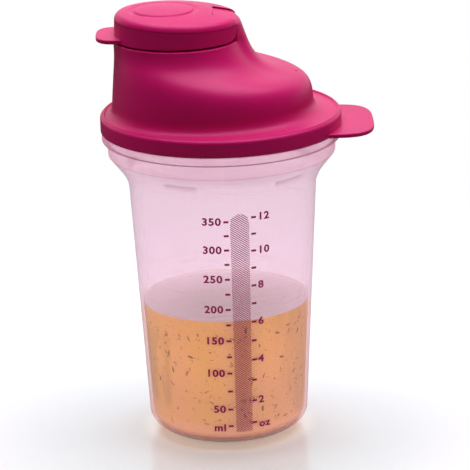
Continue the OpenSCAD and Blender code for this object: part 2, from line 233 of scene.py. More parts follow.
class Shader:
    """A material's node tree with a Principled shader, or the world's tree."""

    def __init__(self, owner):
        owner.use_nodes = True
        self.owner = owner
        self.tree = owner.node_tree
        self.tree.nodes.clear()

    def node(self, kind, settings=None, inputs=None, output=0):
        """Adds a node: its settings first, then the numbers, colours or links of its sockets."""
        made = self.tree.nodes.new(kind)
        for key, setting in (settings or {}).items():
            if key == "stops":
                self._stops(made.color_ramp, setting)
            else:
                setattr(made, key, setting)
        for key, value in (inputs or {}).items():
            self.link(value, made.inputs[key])
        return Value(self, made.outputs[output]) if made.outputs else made

    def _stops(self, ramp, stops):
        while len(ramp.elements) < len(stops):
            ramp.elements.new(0.5)
        for element, (place, colour) in zip(ramp.elements, stops):
            element.position = place
            element.color = (*colour, 1)

    def link(self, value, socket):
        if isinstance(value, Value):
            self.tree.links.new(value.socket, socket)
        elif isinstance(value, (tuple, list)) or hasattr(value, "__len__"):
            socket.default_value = (*value, 1) if socket.type == "RGBA" else tuple(value)
        else:
            socket.default_value = value

    def place(self):
        """The point on the piece, in its own metres."""
        return self.node("ShaderNodeTexCoord", output="Object")

    def noise(self, scale, detail=3, roughness=0.5, stretch=None, distortion=0):
        """Noise from 0 to 1; stretch squeezes it along each axis."""
        where = self.place()
        if stretch:
            where = self.node("ShaderNodeMapping", inputs={0: where, "Scale": stretch})
        return self.node("ShaderNodeTexNoise", inputs={
            "Vector": where, "Scale": scale, "Detail": detail, "Roughness": roughness,
            "Distortion": distortion})

    def between(self, value, low, high, to_low=0.0, to_high=1.0):
        """A value's place between low and high, spread smoothly over a new range."""
        return self.node("ShaderNodeMapRange", {"interpolation_type": "SMOOTHSTEP"}, {
            "Value": value, "From Min": low, "From Max": high, "To Min": to_low, "To Max": to_high})

    def mix(self, factor, first, second, blend="MIX"):
        """One colour over another."""
        return self.node("ShaderNodeMix", {"data_type": "RGBA", "blend_type": blend},
                         {0: factor, 6: first, 7: second}, output=2)

    def larger(self, first, second):
        return self.node("ShaderNodeMath", {"operation": "MAXIMUM"}, {0: first, 1: second})

    def smaller(self, first, second):
        return self.node("ShaderNodeMath", {"operation": "MINIMUM"}, {0: first, 1: second})

    def line(self, value, middle, half):
        """1 at a value's middle, falling smoothly to 0 on both sides."""
        return self.between(value, middle - half, middle) * self.between(value, middle, middle + half, 1, 0)

    def bump(self, height, distance, strength=1.0):
        return self.node("ShaderNodeBump", inputs={
            "Height": height, "Distance": distance, "Strength": strength})

    def principled(self, **sockets):
        inputs = {key.replace("_", " "): value for key, value in sockets.items()}
        return self.node("ShaderNodeBsdfPrincipled", inputs=inputs)

    def output(self, surface):
        kind = "ShaderNodeOutputWorld" if isinstance(self.owner, bpy.types.World) else "ShaderNodeOutputMaterial"
        self.node(kind, inputs={"Surface": surface})


def scaled(colour, factor):
    return tuple(min(1.0, part * factor) for part in colour)


def shader_for(name):
    return Shader(bpy.data.materials.new(name))


def lid_plastic():
    """Opaque raspberry plastic with the fine spark texture of its mould."""
    s = shader_for("raspberry_plastic")
    colour = bpy.context.scene.shaker_colours.lid
    drift = s.between(s.noise(28, 2), 0.35, 0.65)
    grain = s.noise(1900, 2, 0.6)
    base = s.mix(drift, scaled(colour, 0.95), scaled(colour, 1.05))
    s.output(s.principled(
        Base_Color=base, Roughness=s.between(grain, 0.3, 0.7, 0.36, 0.46), Normal=s.bump(grain, 0.00004, 0.5),
        Specular_IOR_Level=0.2))
    return s.owner


def clear_plastic():
    """Milky, lilac-tinted wall: most of the light goes straight through it.

    The outside of the wall holds the haze, most where it is seen along the wall, and the tint, most where
    it is seen straight on. Below the dressing's top the haze is painted peach as a painted glow of the
    dressing. The inside is clear, apart from the lugs, painted dark mauve as painted shade. The collar is
    hazier and painted darker, partly for its thicker plastic and partly as painted shade under the lid's skirt,
    and painted dark lines of shade run under it and under the neck. The foot's thick corner is painted the
    dressing's orange, a painted view of the dressing through it.
    """
    s = shader_for("lilac_wall_plastic")
    colour = bpy.context.scene.shaker_colours.bottle
    top = bpy.context.scene.shaker_sizes.fill_height
    corner_w, corner_h = (size * MM for size in FOOT_CORNER)
    x, y, z = (s.node("ShaderNodeSeparateXYZ", inputs={0: s.place()}, output=i) for i in range(3))
    radius = (x * x + y * y) ** 0.5

    # The middle of the wall at this height tells the outside from the inside
    taper = z * ((TURN_R - FOOT_R) / TURN_Z) + (FOOT_R - WALL / 2) * MM
    funnel = (z - NECK_Z * MM) * FUNNEL_SLOPE + (NECK_R - 0.6 * WALL) * MM
    low = s.larger(corner_h - z, 0) / corner_h
    corner = (1 - s.larger(1 - low * low, 0) ** 0.5) * corner_w
    bend = s.line(z, TURN_Z * MM, TURN_BEND * MM) * (0.8 * MM)
    middle = s.larger(taper - corner, s.smaller(funnel, (NECK_R - NECK_WALL / 2) * MM)) + bend
    outer = s.between(radius - middle, -0.1 * MM, 0.1 * MM)

    cloud = s.between(s.noise(22, 2), 0.3, 0.7)
    along = s.node("ShaderNodeLayerWeight", inputs={"Blend": 0.5}, output=1) ** 3
    thick = s.between(z, (COLLAR_Z - 0.1) * MM, (COLLAR_Z + 0.1) * MM)
    neck = s.between(z, (NECK_Z - 0.2) * MM, (NECK_Z + 0.2) * MM) - thick
    # Painted shade: dark lines at the collar's lower edge and at the neck's turn, where the wall bends.
    edge = s.line(z, COLLAR_Z * MM, 0.5 * MM) + s.line(z, NECK_Z * MM, 0.4 * MM) * 0.7
    foot = s.between(z, 0.5 * MM, 6 * MM)
    # Painted: the lowest millimetres of the foot are painted the dressing's orange and made partly opaque, standing
    # in for the dressing seen through the thick corner.
    foot_painted_orange = s.between(z, 4 * MM, 1.8 * MM)
    flare = s.between(z, 106 * MM, 113 * MM)
    haze = s.between(cloud, 0, 1, 0.135, 0.165) + flare * 0.12 + thick * 0.08 + neck * 0.12 + edge * 0.2 + along * 0.6
    inner_r = (z - NECK_Z * MM) * FUNNEL_SLOPE + (NECK_R - 1.25 * WALL) * MM
    # Painted shade: the lugs inside the funnel are painted dark mauve and made partly opaque.
    lug = s.between(inner_r - radius, 0.3 * MM, 2.5 * MM) * s.between(z, 104 * MM, 106 * MM) * s.between(
        z, NECK_Z * MM, (NECK_Z + 0.5) * MM, 1, 0)

    base = s.mix(cloud, scaled(colour, 0.97), scaled(colour, 1.04))
    # Painted glow: below the dressing's top the wall's haze is painted peach, standing in for the dressing's light
    # scattered in the wall; above it, paler lilac.
    over = s.between(z, top - 1 * MM, top + 2 * MM)
    base = s.mix(0.5, base, s.mix(over, (1.0, 0.62, 0.50), (1.0, 0.76, 1.0)))
    base = s.mix(neck, s.mix(flare, base, (1.0, 0.64, 0.79)), (1.0, 0.56, 0.71))
    # Painted shade, partly real: the collar is painted darker mauve, for its thicker plastic and as shade under the
    # lid's skirt.
    base = s.mix(thick, base, (0.86, 0.38, 0.54))
    base = s.mix(s.smaller(edge + lug, 1), base, (0.40, 0.22, 0.40))
    base = s.mix(foot_painted_orange, base, (1.0, 0.42, 0.11))
    wall = s.principled(Base_Color=base, Roughness=0.35, IOR=1.49, Specular_IOR_Level=0.3)
    clear = s.node("ShaderNodeBsdfTransparent", inputs={"Color": (1, 0.995, 0.998)})
    tint = s.node("ShaderNodeBsdfTransparent", inputs={"Color": (0.92, 0.815, 0.867)})
    through = s.node("ShaderNodeMixShader", inputs={0: outer * foot * (1 - along), 1: clear, 2: tint})
    shown = (haze * foot + foot_painted_orange * 0.7) * outer + lug * 0.36 * (1 - outer)
    s.output(s.node("ShaderNodeMixShader", inputs={0: shown, 1: through, 2: wall}))
    return s.owner


def wheel_plastic():
    """Clear plastic of the mixing wheel, which hardly shows through the wall."""
    s = shader_for("clear_wheel_plastic")
    haze = s.between(s.noise(60, 2), 0.3, 0.7)
    gloss = s.principled(Base_Color=s.mix(haze, (0.76, 0.5, 0.62), (0.84, 0.58, 0.7)), Roughness=0.35,
                         Specular_IOR_Level=0.3)
    clear = s.node("ShaderNodeBsdfTransparent", inputs={"Color": (0.992, 0.98, 0.988)})
    s.output(s.node("ShaderNodeMixShader", inputs={0: s.between(haze, 0, 1, 0.03, 0.05), 1: clear, 2: gloss}))
    return s.owner


def dressing_material():
    """Creamy orange dressing with fine specks, ochre smears, and a top painted pale with a faint painted glow."""
    s = shader_for("orange_dressing")
    colour = bpy.context.scene.shaker_colours.dressing
    top = bpy.context.scene.shaker_sizes.fill_height
    x, y, height = (s.node("ShaderNodeSeparateXYZ", inputs={0: s.place()}, output=i) for i in range(3))
    cloud = s.between(s.noise(30, 4, 0.6, (1, 1, 0.5)), 0.35, 0.7)
    smear = s.between(s.noise(45, 3, 0.5, (1, 1, 0.22)), 0.56, 0.70)
    side = s.larger(s.between(x, -24 * MM, -29 * MM), s.between(x, 26 * MM, 30 * MM))
    streak = s.between(s.noise(110, 3, 0.6, (1, 1, 0.12)), 0.42, 0.56) * side * s.between(
        height, 12 * MM, 22 * MM)
    speck = s.between(s.noise(620, 3, 0.7), 0.62, 0.72)
    base = s.mix(cloud, scaled(colour, 0.98), (0.92, 0.52, 0.19))
    base = s.mix(smear * 0.5, base, (0.60, 0.36, 0.06))
    base = s.mix(streak * 0.35, base, (0.66, 0.38, 0.08))
    ragged = s.between(s.noise(120, 3, 0.6, (1, 1, 0.14)), 0.36, 0.52)
    left = s.between(x, -22.5 * MM, -25 * MM) * s.between(height, 12 * MM, 18 * MM) * s.between(
        height, 52 * MM, 42 * MM)
    base = s.mix(left * ragged, base, (0.78, 0.80, 0.66), "MULTIPLY")
    base = s.mix(s.between(height, 38 * MM, 16 * MM), base, (0.86, 0.86, 0.88), "MULTIPLY")
    base = s.mix(s.between(height, 12 * MM, 7 * MM), base, (0.84, 0.48, 0.22))
    base = s.mix(s.between(height, 4.5 * MM, 3 * MM), base, (0.92, 0.38, 0.08))
    base = s.mix(speck * 0.5, base, (0.34, 0.15, 0.04))
    side_r = height * ((TURN_R - FOOT_R) / TURN_Z) + (FOOT_R - WALL - 0.08) * MM
    # Painted glow: the dressing's top surface is painted pale pink and given a faint emission, standing in for light
    # seen through the hazy wall above it.
    surface = s.between(height, top - 0.3 * MM, top - 0.1 * MM) * s.between(
        side_r - (x * x + y * y) ** 0.5, 0.03 * MM, 0.08 * MM)
    base = s.mix(surface, base, (0.9, 0.74, 0.75))
    s.output(s.principled(
        Base_Color=base, Roughness=0.45, Specular_IOR_Level=0.3, Emission_Strength=1.0,
        Emission_Color=s.mix(surface, (0, 0, 0), (0.13, 0.16, 0.135))))
    return s.owner


def herb_material():
    """Dried herbs, from grey green to brown."""
    s = shader_for("dried_herbs")
    tint = s.noise(150, 2)
    base = s.node("ShaderNodeValToRGB", {"stops": [
        (0.33, (0.17, 0.12, 0.03)), (0.46, (0.42, 0.24, 0.05)), (0.66, (0.62, 0.30, 0.07))]}, {0: tint})
    s.output(s.principled(Base_Color=base, Roughness=0.7))
    return s.owner


def film_material():
    """Oil and dressing that cling to the wall above the surface, thinning out upwards."""
    s = shader_for("clinging_film")
    top = bpy.context.scene.shaker_sizes.fill_height
    height = s.node("ShaderNodeSeparateXYZ", inputs={0: s.place()}, output=2)
    fade = s.between(height, top, top + 24 * MM, 1, 0)
    streak = s.between(s.noise(90, 3, 0.5, (1, 1, 9)), 0.5, 0.75)
    s.output(s.principled(
        Base_Color=(0.78, 0.45, 0.42), Roughness=0.3, Alpha=fade * (0.02 + streak * 0.05)))
    return s.owner


def ink_material():
    """Maroon screen print."""
    s = shader_for("maroon_ink")
    colour = bpy.context.scene.shaker_colours.ink
    wear = s.between(s.noise(900, 2), 0.4, 0.8)
    s.output(s.principled(Base_Color=s.mix(wear, colour, scaled(colour, 1.4)), Roughness=0.5, Specular_IOR_Level=0.2))
    return s.owner


def arc(x, z, r, start, end, count=8, squash=1.0):
    """Points of an arc in the x, z plane, angles in degrees."""
    angles = np.radians(np.linspace(start, end, count))
    return [(x + r * math.cos(a), z + squash * r * math.sin(a)) for a in angles]


def bezier(p0, p1, p2, p3, t):
    """A point of a cubic curve."""
    return (1 - t) ** 3 * p0 + 3 * (1 - t) ** 2 * t * p1 + 3 * (1 - t) * t * t * p2 + t ** 3 * p3


def curve(points, count):
    """Points along a cubic curve through two end points, bent by two handles."""
    p = [np.array(q, float) for q in points]
    return [tuple(bezier(*p, t)) for t in np.linspace(0, 1, count)]


def wall_r(z):
    """Outer radius of the tapered wall at a height."""
    return FOOT_R + (TURN_R - FOOT_R) * z / TURN_Z


def funnel_r(z):
    """Outer radius of the funnel at a height."""
    return NECK_R - FUNNEL_SLOPE * (NECK_Z - z)


def ring(r, z, angles, x=0.0):
    """A level ring of points about the line at x."""
    return np.stack([x + r * np.cos(angles), r * np.sin(angles), np.full_like(angles, z)], 1)


def grid_faces(rows, columns, closed=False):
    """Quads between rows of points, where each row is a closed ring."""
    faces = []
    for i in range(rows if closed else rows - 1):
        low, high = i * columns, (i + 1) % rows * columns
        for j in range(columns):
            k = (j + 1) % columns
            faces.append((low + j, low + k, high + k, high + j))
    return faces


def skin(rows, closed=False):
    """Points and quads of a surface through closed rows of points; an open surface is capped."""
    faces = grid_faces(len(rows), len(rows[0]), closed)
    if not closed:
        n, last = len(rows[0]), (len(rows) - 1) * len(rows[0])
        faces.append(tuple(reversed(range(n))))
        faces.append(tuple(range(last, last + n)))
    return np.concatenate(rows), faces


def turned(profile, x=0.0, columns=AROUND):
    """A turned solid: a closed outline of (radius, height) points that may start and end on the axis."""
    angles = np.linspace(0, 2 * math.pi, columns, endpoint=False)
    on_axis = profile[0][0] < 1e-6
    body = profile[1:-1] if on_axis else profile
    rows = [ring(r, z, angles, x) for r, z in body]
    points = np.concatenate(rows)
    faces = grid_faces(len(rows), columns, closed=not on_axis)
    if on_axis:
        start, end = len(points), len(points) + 1
        last = (len(rows) - 1) * columns
        points = np.concatenate([points, [(x, 0, profile[0][1]), (x, 0, profile[-1][1])]])
        for j in range(columns):
            k = (j + 1) % columns
            faces.append((start, k, j))
            faces.append((end, last + j, last + k))
    return points, faces


def solid(name, shape, material=None):
    """A smooth mesh object from points in millimetres and faces."""
    points, faces = shape
    mesh = bpy.data.meshes.new(name)
    mesh.from_pydata((np.asarray(points) * MM).tolist(), [], faces)
    mesh.validate()
    mesh.shade_smooth()
    obj = bpy.data.objects.new(name, mesh)
    bpy.context.scene.collection.objects.link(obj)
    if material:
        mesh.materials.append(material)
    return obj


def cut_and_join(obj, steps):
    """Applies boolean steps, each an operation and a tool object, and deletes the tools."""
    for operation, tool in steps:
        step = obj.modifiers.new(operation, "BOOLEAN")
        step.operation = operation
        step.solver = "MANIFOLD"
        step.object = tool
    bpy.context.view_layer.update()
    evaluated = obj.evaluated_get(bpy.context.evaluated_depsgraph_get())
    made = bpy.data.meshes.new_from_object(evaluated)
    obj.modifiers.clear()
    obj.data = made
    for _, tool in steps:
        bpy.data.objects.remove(tool)
    return obj


def light_low(obj):
    """Puts a piece of the bottle in the light of the low lamp, which is flagged off the lid."""
    bpy.data.collections["flagged_from_the_lid"].objects.link(obj)


def finish_piece(obj, body, material, replaces=(), edge_angle=32):
    """Gives a piece its material and its smooth and sharp edges, and lets it ride on a body."""
    obj.data.materials.clear()
    obj.data.materials.append(material)
    obj.data.polygons.foreach_set("material_index", [0] * len(obj.data.polygons))
    obj.data.shade_smooth()
    obj.data.set_sharp_from_angle(angle=math.radians(edge_angle))
    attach(obj, body)
    if body == "bottle":
        light_low(obj)
    if replaces:
        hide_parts(*replaces)
    return obj


def bottle_outline():
    """The bottle's wall in section, from the middle of the foot up the outside and down the inside."""
    corner_w, corner_h = FOOT_CORNER
    corner_r = wall_r(corner_h) - corner_w
    dome = (FOOT_RING_R ** 2 + PUSH_UP ** 2) / (2 * PUSH_UP)
    foot_angle = math.degrees(math.asin(FOOT_RING_R / dome))
    floor_angle = math.degrees(math.asin((FOOT_RING_R - WALL) / (dome + WALL)))
    bend = TURN_BEND / 2
    in_w = corner_w - WALL
    outside = [
        *arc(0, PUSH_UP - dome, dome, 90, 90 - foot_angle + 1, 14),
        *arc(corner_r, corner_h, corner_w, -90, -3, 22, corner_h / corner_w),
        *curve([(wall_r(z), z) for z in (16, 40, 70, TURN_Z - bend - 2)], 14),
        *curve([(wall_r(TURN_Z - bend), TURN_Z - bend), (wall_r(TURN_Z - bend / 3), TURN_Z - bend / 3),
                (funnel_r(TURN_Z + bend / 3), TURN_Z + bend / 3),
                (funnel_r(TURN_Z + bend), TURN_Z + bend)], 12),
        *arc(NECK_R - 0.9, NECK_Z + 0.3, 0.9, -38, 0, 5),
        *arc(NECK_R + 0.35, COLLAR_Z - 0.35, 0.35, 180, 90, 5),
        *arc(COLLAR_R - 0.45, COLLAR_Z + 0.45, 0.45, -90, 0, 6),
        *arc(COLLAR_R - 0.45, COLLAR_TOP - 0.45, 0.45, 0, 90, 6),
        *arc(RIM_R + 0.3, COLLAR_TOP + 0.3, 0.3, 270, 180, 4),
        *arc(RIM_R - 0.5, MOUTH_Z - 2.9, 0.5 + BEAD, -55, 55, 7),
        *arc(RIM_R - 0.8, MOUTH_Z - 0.8, 0.8, 0, 90, 6)]
    mouth_r = NECK_R - NECK_WALL
    inside = [
        *arc(mouth_r + 0.6, MOUTH_Z - 0.6, 0.6, 90, 180, 5),
        (mouth_r, NECK_Z + 4), (mouth_r, NECK_Z + 0.5),
        *curve([(funnel_r(TURN_Z + bend) - 1.25 * WALL, TURN_Z + bend),
                (funnel_r(TURN_Z + bend / 3) - 1.1 * WALL, TURN_Z + bend / 3),
                (wall_r(TURN_Z - bend / 3) - WALL, TURN_Z - bend / 3),
                (wall_r(TURN_Z - bend) - WALL, TURN_Z - bend)], 12),
        *curve([(wall_r(z) - WALL, z) for z in (TURN_Z - bend - 2, 70, 40, 16)], 14),
        *arc(corner_r, corner_h, in_w, -3, -90, 22, (corner_h - WALL) / in_w),
        *arc(0, PUSH_UP - dome, dome + WALL, 90 - floor_angle, 90, 14)]
    outside[0] = (0, outside[0][1])
    inside[-1] = (0, inside[-1][1])
    return outside + inside


def lug_shape(facing):
    """One lug, a wedge with a flat shelf that grows out of the funnel."""
    top_r = funnel_r(LUG_SHELF_Z) - WALL / 2
    low_r = funnel_r(LUG_SHELF_Z - LUG_H) - WALL / 2
    tip_r = funnel_r(LUG_SHELF_Z) - 1.25 * WALL - LUG_SHELF
    outline = [(tip_r + 0.5, LUG_SHELF_Z), (top_r, LUG_SHELF_Z), (low_r, LUG_SHELF_Z - LUG_H),
               (tip_r, LUG_SHELF_Z - 0.35 * LUG_H), (tip_r, LUG_SHELF_Z - 0.5)]
    rows = []
    for a in np.radians(np.linspace(facing - LUG_SPAN / 2, facing + LUG_SPAN / 2, 10)):
        rows.append(np.array([(r * math.cos(a), r * math.sin(a), z) for r, z in outline]))
    return skin(rows)


def lid_angles():
    """The lid's columns: close together in the hinge block, whose side walls stand between two of them."""
    tries = np.radians(np.linspace(5, 40, 3501))
    edge = math.degrees(tries[np.argmax(deck_radius(tries) * np.sin(tries) >= BLOCK_HALF_W)])
    block = np.linspace(-edge, edge, 25)
    rest = np.linspace(edge + 0.05, 360 - edge - 0.05, 200)
    return np.radians(np.concatenate([block, rest])), len(block)


def deck_radius(angles):
    """The deck's radius: it draws in beside the ridge that climbs behind the cap."""
    b = np.degrees(np.arctan2(np.sin(angles), np.cos(angles)))
    ridge = np.exp(-np.abs(b / RIDGE_SPAN) ** 3)
    return SPOUT_R - DRAW_SIDE * np.exp(-(b / 55) ** 2) + (DRAW_SIDE - DRAW_BACK) * ridge


def sweep_row(u, angles, inset=0.0):
    """The outline of the dome and spout, u from 0 at the dome's widest ring to 1 at the deck."""
    c, s = np.cos(angles), np.sin(angles)
    back = ((1 + c) / 2) ** 1.5
    front = ((1 - c) / 2) ** 2
    lean = 0.19 + 0.14 * c - 0.08 * front
    pull_up = PULL_UP[0] + (PULL_UP[1] - PULL_UP[0]) * back
    pull_down = PULL_DOWN[0] + (PULL_DOWN[1] - PULL_DOWN[0]) * back
    way = np.stack([c, s, np.zeros_like(c)], 1)
    up = np.array([0, 0, 1.0])
    low = np.array([DOME_X, 0, DOME_Z]) + (DOME_R - inset) * way
    deck_r = deck_radius(angles)
    high = np.array([SPOUT_X, 0, DECK_Z - EDGE_ROUND]) + (deck_r - inset)[:, None] * way
    handle = pull_down * lean + (SPOUT_R - deck_r) / 2
    return bezier(low, low - (0.4 + 1.0 * front)[:, None] * way + pull_up[:, None] * up,
                  high + handle[:, None] * way - pull_down[:, None] * up,
                  high, u) - 0.7 * inset * up


def fillet_row(v, angles, flange_r, flange_z, inset=0.0):
    """The fillet between the flange and the dome, v from 0 at the flange to 1 at the dome."""
    way = np.stack([np.cos(angles), np.sin(angles), np.zeros_like(angles)], 1)
    up = np.array([0, 0, 1.0])
    rise = DOME_Z - flange_z
    start = flange_z * up + flange_r * way
    end = np.array([DOME_X, 0, DOME_Z - 0.7 * inset]) + (DOME_R - inset) * way
    reach = end - start
    reach[:, 2] = 0.15 * rise
    return bezier(start, start + 0.75 * reach, end - 0.7 * rise * up, end, v)


def crown_height(x, y, sink=0.0):
    """Height of the cap's crowned, sloping top, or of a surface that lies sink below it."""
    slope = math.radians(CAP_SLOPE)
    centre_x = CAP_X + (CAP_H - CROWN_R) * math.sin(slope)
    centre_z = CAP_Z + (CAP_H - CROWN_R) * math.cos(slope)
    return centre_z + np.sqrt((CROWN_R - sink) ** 2 - (x - centre_x) ** 2 - y ** 2)


def block_outline(y, edge_x):
    """The hinge block in section at y: up its back from the deck's edge, over its top, down its round front.

    Its back is the ridge that carries the spout's back on, and its sides end flush with the cap.
    """
    base_z = DECK_Z - EDGE_ROUND
    side_x = CAP_X + math.sqrt(CAP_R ** 2 - BLOCK_HALF_W ** 2) + 0.1
    ridge_x = SPOUT_X + SPOUT_R - DRAW_BACK
    share = (ridge_x - edge_x) / (ridge_x - side_x)
    lean = 0.353

    def back(z):
        middle = ridge_x - lean * (z - base_z)
        return middle - (middle - side_x) * share

    corner = 2.4
    top_z = float(crown_height(back(base_z + 8) - 1, y, BLOCK_SINK))
    turn_z = top_z - corner
    heights = np.linspace(base_z, turn_z, 12)
    rise = [(back(z), z) for z in heights]
    over_x = back(top_z) - corner
    over = curve([(back(turn_z), turn_z), (back(turn_z + corner * 0.6), turn_z + corner * 0.6),
                  (over_x + corner * 0.5, float(crown_height(over_x + corner * 0.5, y, BLOCK_SINK))),
                  (over_x, float(crown_height(over_x, y, BLOCK_SINK)))], 8)[1:]
    front_x = HINGE_X - math.sqrt(BLOCK_R ** 2 - (float(crown_height(-2.3, y, BLOCK_SINK)) - HINGE_Z) ** 2)
    xs = np.linspace(over_x, front_x + 0.4, 8)[1:]
    top = [(x, float(crown_height(x, y, BLOCK_SINK))) for x in xs]
    low = math.degrees(math.asin((DECK_Z - HINGE_Z) / BLOCK_R))
    high = math.degrees(math.asin((top[-1][1] - 0.35 - HINGE_Z) / BLOCK_R))
    front = arc(HINGE_X, HINGE_Z, BLOCK_R, 180 - high, 180 - low, 10)
    return np.array(rise + over + top + front)


def lid_rows():
    """Every row of the lid's skin, up the outside, down through the pour hole and back on the inside."""
    angles, block = lid_angles()
    seal_r = NECK_R - NECK_WALL - CLEARANCE
    seal_in = seal_r - SEAL_T
    ceiling = MOUTH_Z + CLEARANCE
    skirt_in = RIM_R + CLEARANCE
    skirt = [
        *arc(SKIRT_R - 0.4, LID_Z + 0.4, 0.4, -90, 0, 5), (SKIRT_R, LID_Z + 2.5), (SKIRT_R, LID_Z + 4.5),
        *arc(SKIRT_R - SKIRT_ROUND, EDGE_Z - 1.2 * SKIRT_ROUND, SKIRT_ROUND, 0, 62, 9),
        *curve([(EDGE_R - 0.1, EDGE_Z - 0.05), (EDGE_R - 0.25, EDGE_Z), (EDGE_R - 0.45, EDGE_Z),
                (EDGE_R - 0.6, EDGE_Z - 0.12)], 5)]
    rows = [ring(r, z, angles) for r, z in skirt]
    rows += [fillet_row(v, angles, FILLET_R, EDGE_Z - GUTTER) for v in np.linspace(0, 1, 14)[:-1]]
    rows += [sweep_row(u, angles) for u in np.linspace(0, 1, 46)]

    # The deck: in the block's columns these rows climb over the block, elsewhere they cross the ledge
    deck_r = deck_radius(angles)
    edge = ring(1, DECK_Z - EDGE_ROUND, angles)
    edge[:, :2] = edge[:, :2] * deck_r[:, None] + np.array([SPOUT_X, 0])
    sections = [block_outline(y, x) for x, y in edge[:block, :2]]
    side = sections[0]
    way_in = np.maximum.accumulate((side[0, 0] - side[:, 0]) / (side[0, 0] - side[-1, 0]))
    way_in = (way_in + 0.002 * np.arange(len(way_in)))
    way_in = way_in / way_in[-1]
    middle_x = -20.9
    front_x = side[-1, 0]
    middle_r = math.hypot(front_x - middle_x, BLOCK_HALF_W)
    turn = math.atan2(BLOCK_HALF_W, front_x - middle_x)
    spread = np.linspace(turn, 2 * math.pi - turn, len(angles) - block)
    middle = ring(middle_r, DECK_Z, np.concatenate([np.zeros(block), spread]), middle_x)
    middle[:block] = [(front_x, y, DECK_Z) for y in edge[:block, 1]]
    for i in range(1, len(side)):
        row = edge + (middle - edge) * way_in[i]
        run = np.minimum(np.linalg.norm((middle - edge)[:, :2], axis=1) * way_in[i], EDGE_ROUND)
        row[:, 2] = DECK_Z - EDGE_ROUND + np.sqrt(EDGE_ROUND ** 2 - (EDGE_ROUND - run) ** 2)
        for j in range(block):
            x, z = sections[j][i]
            row[j] = (x, edge[j, 1], z)
        rows.append(row)

    # The lip round the pour hole, and the way back under the deck
    turn = np.arctan2(middle[:, 1], middle[:, 0] - POUR_X)
    lip_out = ring(POUR_R + LIP_T + 0.5, DECK_Z, turn, POUR_X)
    rows += [middle + (lip_out - middle) * t for t in (0.35, 0.7, 1)]
    lip_r = LIP_T / 2
    lip = [(POUR_R + LIP_T + 0.15, DECK_Z + 0.15), (POUR_R + LIP_T, DECK_Z + 0.6),
           *arc(POUR_R + lip_r, LIP_Z - lip_r, lip_r, 0, 180, 9), (POUR_R, DECK_Z + 1),
           (POUR_R, DECK_Z - LID_WALL + 0.3), (POUR_R + 0.3, DECK_Z - LID_WALL)]
    rows += [ring(r, z, turn, POUR_X) for r, z in lip]
    under = sweep_row(1, angles, LID_WALL)
    under_z = DECK_Z - LID_WALL
    inner = ring(1, under_z, angles)
    inner[:, :2] = inner[:, :2] * (deck_r - LID_WALL - 0.8)[:, None] + np.array([SPOUT_X, 0])
    rows += [rows[-1] + (inner - rows[-1]) * t for t in (0.4, 0.8, 1)]
    rows += [inner + (under - inner) * np.array([0.7, 0.7, 0.25])]
    rows += [sweep_row(u, angles, LID_WALL) for u in np.linspace(1, 0, 26)]
    rows += [fillet_row(v, angles, seal_in, EDGE_Z - 1, LID_WALL) for v in np.linspace(1, 0, 7)[1:]]
    seal = [(seal_in, ceiling - SEAL_DEPTH + 0.3), (seal_in + 0.3, ceiling - SEAL_DEPTH),
            (seal_r - 0.5, ceiling - SEAL_DEPTH), (seal_r, ceiling - SEAL_DEPTH + 1), (seal_r, ceiling),
            (skirt_in, ceiling), (skirt_in, MOUTH_Z - 1.9), (skirt_in + BEAD, MOUTH_Z - 2.5),
            (skirt_in + BEAD, MOUTH_Z - 3.2), (skirt_in, MOUTH_Z - 4), (skirt_in, LID_Z + 0.2),
            (skirt_in + 0.2, LID_Z)]
    rows += [ring(r, z, angles) for r, z in seal]
    return rows


def tab_shape(x, half_l, half_w, z, thick, power):
    """A flat tab with a rounded outline and rounded edges, centred at x."""
    t = np.linspace(0, 2 * math.pi, 144, endpoint=False)
    c, s = np.cos(t), np.sin(t)
    shape = np.stack([np.sign(c) * np.abs(c) ** (2 / power), np.sign(s) * np.abs(s) ** (2 / power)], 1)
    edge = [*arc(0, 0.5, 0.5, -90, 0, 5), *arc(0, thick - 0.5, 0.5, 0, 90, 5)]
    inner = [(-half_w * 0.35, 0), (-1.5, 0)]
    profile = inner + [(r - 0.5, h) for r, h in edge] + [(-1.5, thick), (-half_w * 0.35, thick)]
    rows = []
    for inset, h in profile:
        row = shape * np.array([half_l + inset, half_w + inset])
        rows.append(np.stack([x + row[:, 0], row[:, 1], np.full(len(t), z + h)], 1))
    return skin(rows)


def box_shape(low, high):
    """A box between two corners."""
    (x0, y0, z0), (x1, y1, z1) = low, high
    points = [(x, y, z) for z in (z0, z1) for x, y in ((x0, y0), (x1, y0), (x1, y1), (x0, y1))]
    return points, [(3, 2, 1, 0), (4, 5, 6, 7), (0, 1, 5, 4), (1, 2, 6, 5), (2, 3, 7, 6), (3, 0, 4, 7)]


def rod_shape(x, z, r, y0, y1, columns=96):
    """A rod along Y."""
    t = np.linspace(0, 2 * math.pi, columns, endpoint=False)
    rows = [np.stack([x + r * np.sin(t), np.full(columns, y), z + r * np.cos(t)], 1) for y in (y0, y1)]
    return skin(rows)


def cap_point(points):
    """Points in the cap's own upright frame, sloped and put in place."""
    s = math.radians(CAP_SLOPE)
    p = np.asarray(points, float)
    return np.stack([p[:, 0] * math.cos(s) + p[:, 2] * math.sin(s) + CAP_X, p[:, 1],
                     -p[:, 0] * math.sin(s) + p[:, 2] * math.cos(s) + CAP_Z], 1)


def cap_skirt_outline(inset):
    """The cap's side and edge in section, from its lower edge up to where the crown begins."""
    r = CAP_R - inset
    round_r = max(CAP_ROUND - inset, 1)
    top_r = CROWN_R - inset
    middle = CAP_H - CROWN_R
    centre_r = r - round_r
    centre_z = middle + math.sqrt((top_r - round_r) ** 2 - centre_r ** 2)
    start = math.degrees(math.atan2(centre_z - middle, centre_r))
    return centre_r, centre_z, round_r, start


